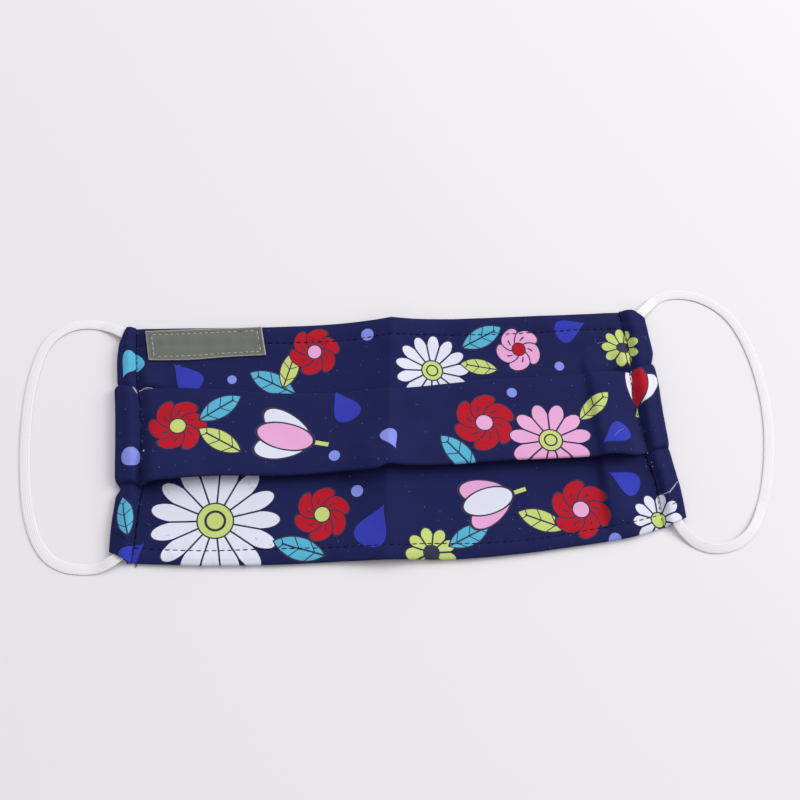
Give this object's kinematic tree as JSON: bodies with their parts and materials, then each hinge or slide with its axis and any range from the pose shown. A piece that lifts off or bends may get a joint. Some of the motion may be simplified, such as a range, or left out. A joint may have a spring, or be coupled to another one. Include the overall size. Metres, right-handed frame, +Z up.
{
  "type": "cloth face mask",
  "caption": "Flat-lying pleated cloth face mask: one box pleat across the front, hemmed edges, a side casing and a flat elastic ear loop at each end, and a bare label.",
  "frame": {"origin": "on the surface that the mask lies on, under the middle of the cloth without its ear loops", "axes": "+X across the mask from its left casing to its right one, +Y from its lower edge to its upper edge, +Z up, out of the face of the cloth"},
  "size_m": [0.2617, 0.1002, 0.008],
  "materials": {
    "printed_cloth": "plain woven cotton, navy with a printed pattern, matt",
    "woven_label": "woven grey-green tape, stitched down, matt",
    "elastic": "flat knitted elastic, white, matt"
  },
  "bodies": {
    "root": {"pleated_panel": "printed_cloth", "left_casing": "printed_cloth", "right_casing": "printed_cloth", "label": "woven_label", "left_ear_loop": "elastic", "right_ear_loop": "elastic"}
  },
  "joints": []
}
